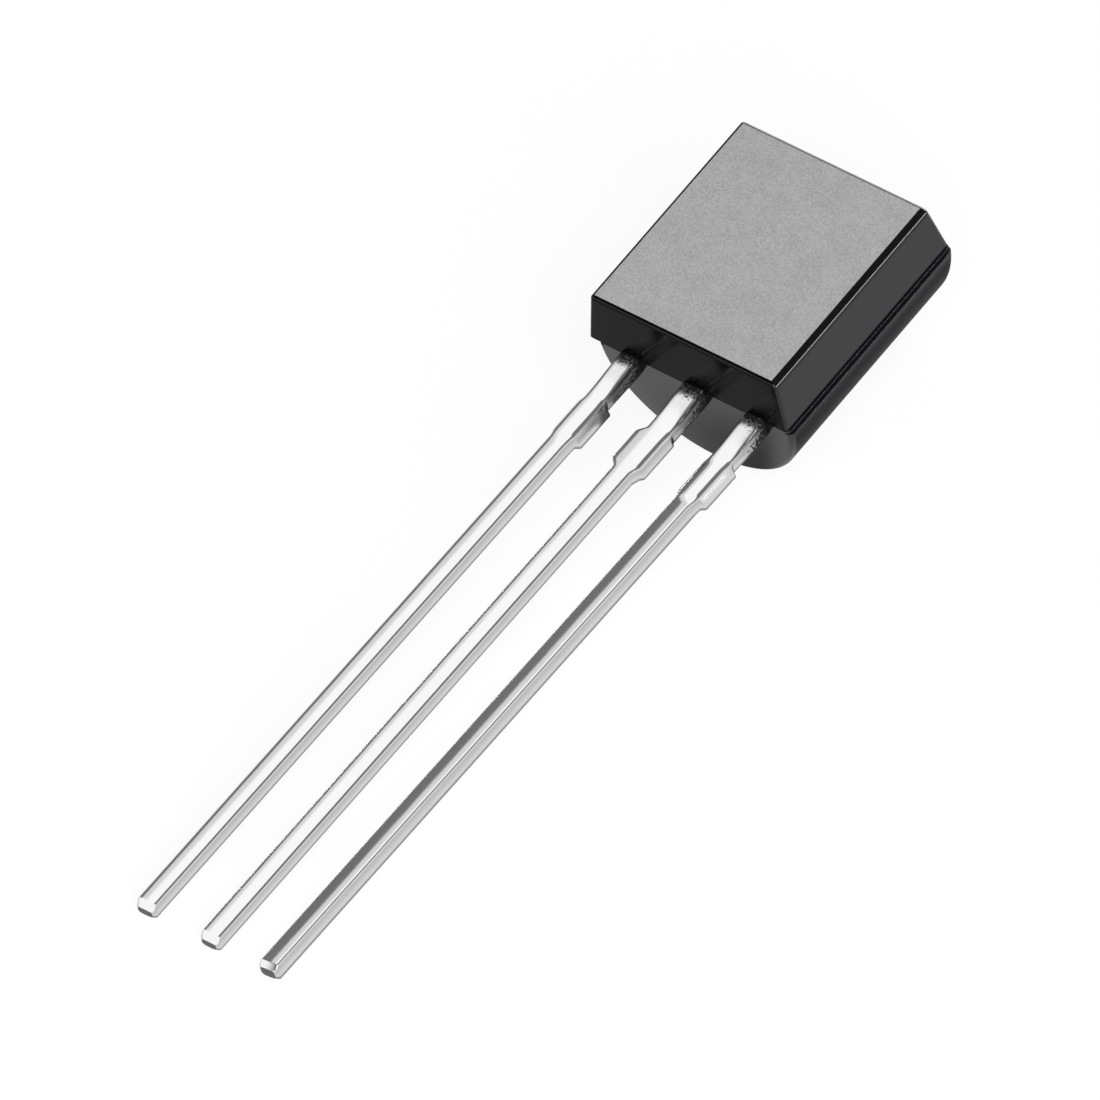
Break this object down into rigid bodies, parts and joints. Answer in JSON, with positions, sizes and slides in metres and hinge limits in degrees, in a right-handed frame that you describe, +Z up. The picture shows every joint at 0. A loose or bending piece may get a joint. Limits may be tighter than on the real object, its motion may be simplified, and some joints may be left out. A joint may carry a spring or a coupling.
{
  "type": "to-92 transistor",
  "caption": "Leaded transistor in a small moulded D-section package, with one flat face, a round back and a row of long straight leads.",
  "frame": {"origin": "on the surface that the part lies on, under the middle of its outline's box; x = 0 runs through the middle lead where it leaves the moulding", "axes": "+Z up, away from the surface, with the flat face upwards and tilted about 6.8 degrees; +Y from the lead tips towards the moulding's top end; +X towards the collector lead"},
  "size_m": [0.0041, 0.0176, 0.0035],
  "materials": {
    "moulding": "satin",
    "tinned_lead": "satin",
    "silicon": "polished",
    "solder": "matte",
    "bond_wire": "gloss"
  },
  "bodies": {
    "root": {"body": "moulding", "emitter_lead": "tinned_lead", "base_lead": "tinned_lead", "collector_lead": "tinned_lead", "transistor_chip": "silicon", "die_attach": "solder", "base_bond_wire": "bond_wire", "emitter_bond_wire": "bond_wire"}
  },
  "joints": []
}
